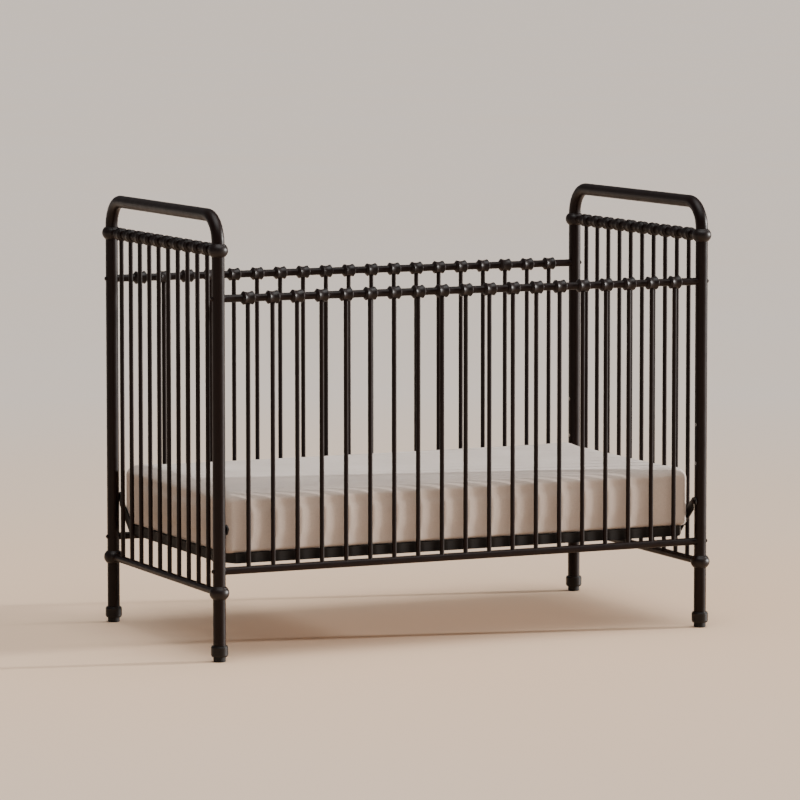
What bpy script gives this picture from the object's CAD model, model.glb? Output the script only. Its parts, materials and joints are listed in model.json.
import json
import math

import bmesh
import bpy
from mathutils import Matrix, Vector


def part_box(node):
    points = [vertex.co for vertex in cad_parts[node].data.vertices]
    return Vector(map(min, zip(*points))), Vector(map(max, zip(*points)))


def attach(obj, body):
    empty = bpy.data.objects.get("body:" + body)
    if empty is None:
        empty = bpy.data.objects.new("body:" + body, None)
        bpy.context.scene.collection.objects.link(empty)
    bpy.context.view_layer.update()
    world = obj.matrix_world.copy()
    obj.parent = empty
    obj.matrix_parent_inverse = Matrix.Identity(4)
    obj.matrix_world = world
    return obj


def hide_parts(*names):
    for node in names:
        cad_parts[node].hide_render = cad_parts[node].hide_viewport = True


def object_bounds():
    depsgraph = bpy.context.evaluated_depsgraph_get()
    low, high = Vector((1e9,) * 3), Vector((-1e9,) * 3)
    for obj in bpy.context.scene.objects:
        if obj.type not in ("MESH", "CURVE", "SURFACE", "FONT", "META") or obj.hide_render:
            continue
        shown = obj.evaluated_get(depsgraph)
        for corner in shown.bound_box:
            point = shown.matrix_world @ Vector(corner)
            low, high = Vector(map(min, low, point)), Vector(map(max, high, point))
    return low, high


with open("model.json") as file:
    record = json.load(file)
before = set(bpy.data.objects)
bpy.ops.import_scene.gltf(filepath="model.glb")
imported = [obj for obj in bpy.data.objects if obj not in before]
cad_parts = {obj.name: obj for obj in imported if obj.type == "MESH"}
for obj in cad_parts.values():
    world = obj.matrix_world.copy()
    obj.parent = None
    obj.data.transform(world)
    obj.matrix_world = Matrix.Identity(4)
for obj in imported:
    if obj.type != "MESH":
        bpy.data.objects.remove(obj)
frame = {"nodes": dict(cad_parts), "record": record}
cad_low, cad_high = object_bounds()
nodes = frame["nodes"]

MM = 0.001

# ---------------------------------------------------------------- shader helpers


def new_material(name):
    """An empty node material and its tree."""
    made = bpy.data.materials.new(name)
    made.use_nodes = True
    made.node_tree.nodes.clear()
    return made, made.node_tree


def add(tree, kind, inputs=None, **settings):
    """One shader node, with its properties as settings and its sockets by name or index."""
    made = tree.nodes.new(kind)
    for name, value in settings.items():
        setattr(made, name, value)
    for name, value in (inputs or {}).items():
        socket = made.inputs[name]
        if isinstance(value, bpy.types.NodeSocket):
            tree.links.new(value, socket)
        else:
            socket.default_value = value
    return made


def place_of(tree):
    """The point's place on the object, in metres in the row frame."""
    return add(tree, "ShaderNodeTexCoord").outputs["Object"]


def calc(tree, operation, *values):
    """The result of a maths operation on numbers or sockets."""
    return add(tree, "ShaderNodeMath", dict(enumerate(values)), operation=operation).outputs[0]


def noise_of(tree, place, scale, detail=2.0, roughness=0.5):
    """Soft noise from 0 to 1, with scale as features per metre."""
    inputs = {"Vector": place, "Scale": scale, "Detail": detail, "Roughness": roughness}
    return add(tree, "ShaderNodeTexNoise", inputs).outputs["Fac"]


def spread(tree, value, low, high, to_low=0.0, to_high=1.0):
    """Map low..high of a value to to_low..to_high, and clamp it there."""
    inputs = {"Value": value, "From Min": low, "From Max": high,
              "To Min": to_low, "To Max": to_high}
    return add(tree, "ShaderNodeMapRange", inputs).outputs["Result"]


def blend_colours(tree, share, first, second):
    """The first colour where share is 0, the second where it is 1."""
    inputs = {0: share, 6: (*first, 1), 7: (*second, 1)}
    return add(tree, "ShaderNodeMix", inputs, data_type="RGBA").outputs[2]


def bump(tree, height, distance):
    """A normal that follows a relief of the given depth."""
    inputs = {"Height": height, "Distance": distance, "Strength": 1.0}
    return add(tree, "ShaderNodeBump", inputs).outputs["Normal"]


def surface(tree, **sockets):
    """The principled shader that ends a material. Socket names have _ for a space."""
    inputs = {name.replace("_", " "): value for name, value in sockets.items()}
    shader = add(tree, "ShaderNodeBsdfPrincipled", inputs)
    add(tree, "ShaderNodeOutputMaterial", {"Surface": shader.outputs[0]})


# ---------------------------------------------------------------- materials

CLOUD_SHARE = 0.65                  # of the paint's tone; the rest is fine mottle
DULL_SHARE = 0.8                    # how bright bare steel is in its dark lines
STEEL_STRETCH = (1, 1, 0.04)        # draws the noise out into upright lines
THREAD_WANDER = 2.0                 # radians by which the weave runs unevenly
WEAVE_RELIEF = 0.35
WEAVE_TONE = 0.18
SLUB_TONE = 0.45


def paint(name, dark, light, gloss, shine, grain, depth):
    """Baked-on satin paint: a faint cloudy tone, a fine orange-peel skin and uneven gloss.

    gloss is the middle roughness, shine the specular level, grain the skin's features per metre.
    """
    made, tree = new_material(name)
    place = place_of(tree)
    cloud = spread(tree, noise_of(tree, place, 7.0, 4.0), 0.3, 0.7)
    mottle = spread(tree, noise_of(tree, place, 160.0, 3.0), 0.35, 0.65)
    tone = calc(tree, "MULTIPLY_ADD", mottle, 1 - CLOUD_SHARE,
                calc(tree, "MULTIPLY", cloud, CLOUD_SHARE))
    uneven = noise_of(tree, place, 45.0, 3.0)
    skin = noise_of(tree, place, grain, 2.0)
    surface(
        tree,
        Base_Color=blend_colours(tree, tone, dark, light),
        Roughness=spread(tree, uneven, 0.3, 0.7, gloss - 0.04, gloss + 0.05),
        Specular_IOR_Level=shine,
        Normal=bump(tree, skin, depth),
    )
    return made


def bare_steel(name, tone, gloss):
    """Drawn steel with fine lines along the vertical."""
    made, tree = new_material(name)
    place = place_of(tree)
    stretched = add(tree, "ShaderNodeMapping", {"Vector": place, "Scale": STEEL_STRETCH}).outputs[0]
    lines = noise_of(tree, stretched, 900.0, 3.0)
    dark = tuple(DULL_SHARE * share for share in tone)
    surface(
        tree,
        Base_Color=blend_colours(tree, spread(tree, lines, 0.3, 0.7), dark, tone),
        Metallic=1.0,
        Roughness=spread(tree, lines, 0.3, 0.7, gloss - 0.06, gloss + 0.06),
        Normal=bump(tree, lines, 0.02 * MM),
    )
    return made


def moulded(name, dark, light, gloss, shine, grain, depth):
    """Moulded plastic or rubber with a spark-eroded skin."""
    made, tree = new_material(name)
    place = place_of(tree)
    skin = noise_of(tree, place, grain, 3.0)
    cloud = spread(tree, noise_of(tree, place, 20.0), 0.3, 0.7)
    surface(
        tree,
        Base_Color=blend_colours(tree, cloud, dark, light),
        Roughness=spread(tree, skin, 0.3, 0.7, gloss - 0.05, gloss + 0.05),
        Specular_IOR_Level=shine,
        Normal=bump(tree, skin, depth),
    )
    return made


def woven(name, dark, light, pitch, depth):
    """Plain-woven cotton: threads along all three axes, each face showing the two that lie in it."""
    made, tree = new_material(name)
    place = place_of(tree)
    uneven = noise_of(tree, place, 90.0, 3.0)
    wander = calc(tree, "MULTIPLY", uneven, THREAD_WANDER)
    axes = add(tree, "ShaderNodeSeparateXYZ", {0: place}).outputs
    normal = add(tree, "ShaderNodeNewGeometry").outputs["Normal"]
    facing = add(tree, "ShaderNodeSeparateXYZ", {0: normal}).outputs
    threads, weights = [], []
    for axis in range(3):
        turn = calc(tree, "MULTIPLY_ADD", axes[axis], 2 * math.pi / pitch, wander)
        threads.append(calc(tree, "SINE", turn))
        side = calc(tree, "ABSOLUTE", facing[axis])
        weights.append(spread(tree, side, 0.55, 0.8))
    weave = 0.0
    for axis in range(3):
        first, second = (threads[other] for other in range(3) if other != axis)
        cross = calc(tree, "MULTIPLY", calc(tree, "MULTIPLY", first, second), weights[axis])
        weave = calc(tree, "ADD", cross, weave)
    slub = spread(tree, noise_of(tree, place, 350.0, 4.0, 0.6), 0.25, 0.75)
    height = calc(tree, "MULTIPLY_ADD", weave, WEAVE_RELIEF, slub)
    cloud = noise_of(tree, place, 5.0, 3.0)
    tone = calc(tree, "MULTIPLY_ADD", slub, SLUB_TONE,
                calc(tree, "MULTIPLY_ADD", weave, WEAVE_TONE, cloud))
    surface(
        tree,
        Base_Color=blend_colours(tree, spread(tree, tone, 0.35, 1.15), dark, light),
        Roughness=0.9,
        Sheen_Weight=0.25,
        Sheen_Roughness=0.5,
        Normal=bump(tree, height, depth),
    )
    return made


BRONZE_DARK = (0.0045, 0.0008, 0.0002)
BRONZE_LIGHT = (0.0075, 0.0018, 0.0008)
BLACK_DARK = (0.006, 0.0045, 0.004)
BLACK_LIGHT = (0.011, 0.009, 0.008)
PLASTIC_DARK = (0.005, 0.003, 0.002)
PLASTIC_LIGHT = (0.008, 0.005, 0.004)
RUBBER_DARK = (0.008, 0.007, 0.006)
RUBBER_LIGHT = (0.013, 0.011, 0.010)
STEEL = (0.44, 0.43, 0.42)
TICKING_DARK = (0.44, 0.355, 0.295)
TICKING_LIGHT = (0.62, 0.515, 0.44)
FELT_DARK = (0.55, 0.50, 0.44)
FELT_LIGHT = (0.75, 0.71, 0.64)

finishes = {
    "frame_metal": paint("satin_bronze_paint", BRONZE_DARK, BRONZE_LIGHT,
                         gloss=0.39, shine=0.18, grain=900.0, depth=0.03 * MM),
    "cast_joint": paint("cast_bronze_paint", BRONZE_DARK, BRONZE_LIGHT,
                        gloss=0.42, shine=0.30, grain=420.0, depth=0.10 * MM),
    "fastener": paint("bolt_bronze_paint", BRONZE_DARK, BRONZE_LIGHT,
                      gloss=0.36, shine=0.25, grain=700.0, depth=0.04 * MM),
    "support_metal": paint("support_black_paint", BLACK_DARK, BLACK_LIGHT,
                           gloss=0.46, shine=0.22, grain=600.0, depth=0.08 * MM),
    "plain_steel": bare_steel("drawn_steel", STEEL, gloss=0.38),
    "collar_plastic": moulded("collar_plastic", PLASTIC_DARK, PLASTIC_LIGHT,
                              gloss=0.42, shine=0.25, grain=500.0, depth=0.06 * MM),
    "glide_rubber": moulded("glide_rubber", RUBBER_DARK, RUBBER_LIGHT,
                            gloss=0.72, shine=0.30, grain=650.0, depth=0.10 * MM),
    "mattress_fabric": woven("mattress_ticking", TICKING_DARK, TICKING_LIGHT,
                             pitch=2.4 * MM, depth=0.12 * MM),
    "mattress_filling": woven("spring_pad_felt", FELT_DARK, FELT_LIGHT,
                              pitch=3.4 * MM, depth=0.20 * MM),
}

slot_of = {part["node"]: part["material_slot"] for part in frame["record"]["subparts"]}
for name, item in nodes.items():
    item.data.materials.clear()
    item.data.materials.append(finishes[slot_of[name]])

# ---------------------------------------------------------------- mattress

MATTRESS_NODES = ("mattress_cover", "mattress_pad_bottom", "mattress_pad_top", "mattress_border")
SWELL_TOP = 5 * MM
SWELL_SIDE = 1 * MM
SWELL_END = 4.5 * MM                # at the middle of each end; nothing beside the hangers
HANGER_REACH = 250 * MM             # from the crib's middle to where a hanger starts
CORNER = 26 * MM                    # radii of the upright, top and bottom edges
TOP_EDGE = 22 * MM
LOW_EDGE = 7 * MM
INSET = Vector((0.2, 0.5, 0)) * MM  # of the unswollen form inside the CAD mattress
VOXEL = 6 * MM
SIM_FRAMES = 20


def rounded_block(name, low, high):
    """A closed block with round upright corners, a soft top edge and a tighter bottom edge."""
    mesh = bpy.data.meshes.new(name)
    form = bmesh.new()
    bmesh.ops.create_cube(form, size=1.0)
    size, middle = high - low, (high + low) / 2
    for vert in form.verts:
        vert.co = Vector(middle[k] + vert.co[k] * size[k] for k in range(3))
    upright = [e for e in form.edges if abs(e.verts[0].co.z - e.verts[1].co.z) > TOP_EDGE]
    bmesh.ops.bevel(form, geom=upright, offset=CORNER, segments=10, profile=0.5, affect="EDGES")
    for height, radius in ((high.z, TOP_EDGE), (low.z, LOW_EDGE)):
        rim = [e for e in form.edges if all(abs(v.co.z - height) < MM for v in e.verts)
               and any(abs(f.normal.z) < 0.1 for f in e.link_faces)]
        bmesh.ops.bevel(form, geom=rim, offset=radius, segments=8, profile=0.5, affect="EDGES")
    form.normal_update()
    form.to_mesh(mesh)
    form.free()
    item = bpy.data.objects.new(name, mesh)
    bpy.context.scene.collection.objects.link(item)
    return item


def apply_modifiers(item):
    """Replace the item's mesh by what its modifiers make of it."""
    graph = bpy.context.evaluated_depsgraph_get()
    mesh = bpy.data.meshes.new_from_object(item.evaluated_get(graph))
    item.modifiers.clear()
    item.data = mesh


def reach_of(place, normal):
    """How far a point of the cover may swell: most on top, nothing at the bottom or the hangers."""
    up, down = max(normal.z, 0.0) ** 2, max(-normal.z, 0.0) ** 2
    end = normal.x ** 2
    clear = max(0.0, 1 - (place.y / HANGER_REACH) ** 4)
    return SWELL_TOP * up + SWELL_END * clear * end + SWELL_SIDE * (1 - up - down - end)


def swell(item):
    """Inflate the stuffed cover as cloth, and let each point move only as far as it may."""
    rest = [(vert.co.copy(), vert.normal.copy()) for vert in item.data.vertices]
    cloth = item.modifiers.new("cloth", "CLOTH")
    cloth.settings.use_pressure = True
    cloth.settings.uniform_pressure_force = 4.0
    cloth.settings.tension_stiffness = 15.0
    cloth.settings.compression_stiffness = 15.0
    cloth.settings.bending_stiffness = 1.5
    cloth.settings.mass = 0.4
    cloth.settings.effector_weights.gravity = 0.0
    scene = bpy.context.scene
    scene.frame_start, scene.frame_end = 1, SIM_FRAMES
    for step in range(1, SIM_FRAMES + 1):
        scene.frame_set(step)
    apply_modifiers(item)
    for vert, (start, normal) in zip(item.data.vertices, rest):
        move, reach = vert.co - start, reach_of(start, normal)
        vert.co = start + move * (reach / (reach + move.length) if reach > 0 else 0.0)
    scene.frame_set(1)


mattress_low, mattress_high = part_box("mattress_cover")
mattress = rounded_block("mattress", mattress_low + INSET, mattress_high - INSET)
remesh = mattress.modifiers.new("remesh", "REMESH")
remesh.mode = "VOXEL"
remesh.voxel_size = VOXEL
apply_modifiers(mattress)
swell(mattress)
finer = mattress.modifiers.new("finer", "SUBSURF")
finer.levels = finer.render_levels = 1
apply_modifiers(mattress)
for face in mattress.data.polygons:
    face.use_smooth = True
mattress.data.materials.append(finishes["mattress_fabric"])
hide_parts(*MATTRESS_NODES)
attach(mattress, "mattress")

# ---------------------------------------------------------------- floor, light and camera

FLOOR_HALF = 400.0                  # metres, so that no far edge shows
FLOOR_NEAR = (0.84, 0.585, 0.385)
FLOOR_FAR = (0.76, 0.68, 0.61)


def make_floor():
    """A plain pale floor under the crib, reaching far past the view."""
    form = bmesh.new()
    bmesh.ops.create_grid(form, x_segments=8, y_segments=8, size=FLOOR_HALF)
    mesh = bpy.data.meshes.new("floor")
    form.to_mesh(mesh)
    form.free()
    floor = bpy.data.objects.new("floor", mesh)
    floor.location.z = cad_low.z
    bpy.context.scene.collection.objects.link(floor)
    made, tree = new_material("pale_floor")
    place = place_of(tree)
    away = add(tree, "ShaderNodeVectorMath", {0: place}, operation="LENGTH").outputs["Value"]
    cloud = noise_of(tree, place, 0.6, 3.0)
    tone = calc(tree, "MULTIPLY_ADD", cloud, 0.2, spread(tree, away, 0.8, 6.0, 0.0, 0.8))
    surface(
        tree,
        Base_Color=blend_colours(tree, tone, FLOOR_NEAR, FLOOR_FAR),
        Roughness=0.75,
    )
    mesh.materials.append(made)


def direction(azimuth, elevation):
    """Towards the given angles in degrees. Azimuth 0 is +X, 90 is +Y; elevation is up."""
    turn, rise = math.radians(azimuth), math.radians(elevation)
    return Vector((math.cos(turn) * math.cos(rise), math.sin(turn) * math.cos(rise),
                   math.sin(rise)))


def place_lamp(lamp, away, place):
    """Put a lamp at a place, shining against the away direction."""
    item = bpy.data.objects.new(lamp.name, lamp)
    item.location = place
    item.rotation_euler = (-away).to_track_quat("-Z", "Y").to_euler()
    bpy.context.scene.collection.objects.link(item)


def make_light(name, azimuth, elevation, distance, size, power, colour):
    """A soft box of size metres each way that looks at the middle of the crib. Power is in watts."""
    away = direction(azimuth, elevation)
    lamp = bpy.data.lights.new(name, "AREA")
    lamp.shape = "RECTANGLE"
    lamp.size, lamp.size_y = size
    lamp.energy = power
    lamp.color = colour
    place_lamp(lamp, away, (cad_low + cad_high) / 2 + away * distance)


def make_sun(name, azimuth, elevation, width, strength, colour):
    """Even light from far off; width is its angle across the sky in degrees."""
    lamp = bpy.data.lights.new(name, "SUN")
    lamp.energy = strength
    lamp.angle = math.radians(width)
    lamp.color = colour
    place_lamp(lamp, direction(azimuth, elevation), Vector())


def make_sky(colour, strength):
    """The even light of the room."""
    world = bpy.data.worlds.new("studio")
    world.use_nodes = True
    shade = world.node_tree.nodes["Background"]
    shade.inputs["Color"].default_value = (*colour, 1)
    shade.inputs["Strength"].default_value = strength
    bpy.context.scene.world = world


CAMERA_PLACE = Vector((-4.9422, -10.7409, 1.8079))
CAMERA_TURN = 24.924                # degrees from +Y towards +X
CAMERA_DIP = 5.02                   # degrees below the horizon
CAMERA_LENS = 206.74                # mm, on a 36 mm sensor
CAMERA_SHIFT = (-0.0285, -0.0885)


def make_camera():
    """The camera at the photograph's viewing angle."""
    lens = bpy.data.cameras.new("camera")
    lens.sensor_width = 36.0
    lens.lens = CAMERA_LENS
    lens.shift_x, lens.shift_y = CAMERA_SHIFT
    lens.clip_end = 1000.0
    item = bpy.data.objects.new("camera", lens)
    item.location = CAMERA_PLACE
    turn, dip = math.radians(CAMERA_TURN), math.radians(CAMERA_DIP)
    ahead = Vector((math.sin(turn) * math.cos(dip), math.cos(turn) * math.cos(dip),
                    -math.sin(dip)))
    item.rotation_euler = ahead.to_track_quat("-Z", "Y").to_euler()
    bpy.context.scene.collection.objects.link(item)
    bpy.context.scene.camera = item


make_floor()
make_sun("window", azimuth=-14, elevation=9, width=3.0, strength=6.5, colour=(1.0, 0.97, 0.94))
make_light("overhead", azimuth=-100, elevation=78, distance=3.6, size=(2.6, 2.6), power=50,
           colour=(1.0, 0.99, 0.98))
make_sun("daylight", azimuth=-70, elevation=76, width=60, strength=2.2, colour=(1.0, 0.985, 0.97))
make_sky(colour=(0.80, 0.79, 0.80), strength=0.26)
make_camera()
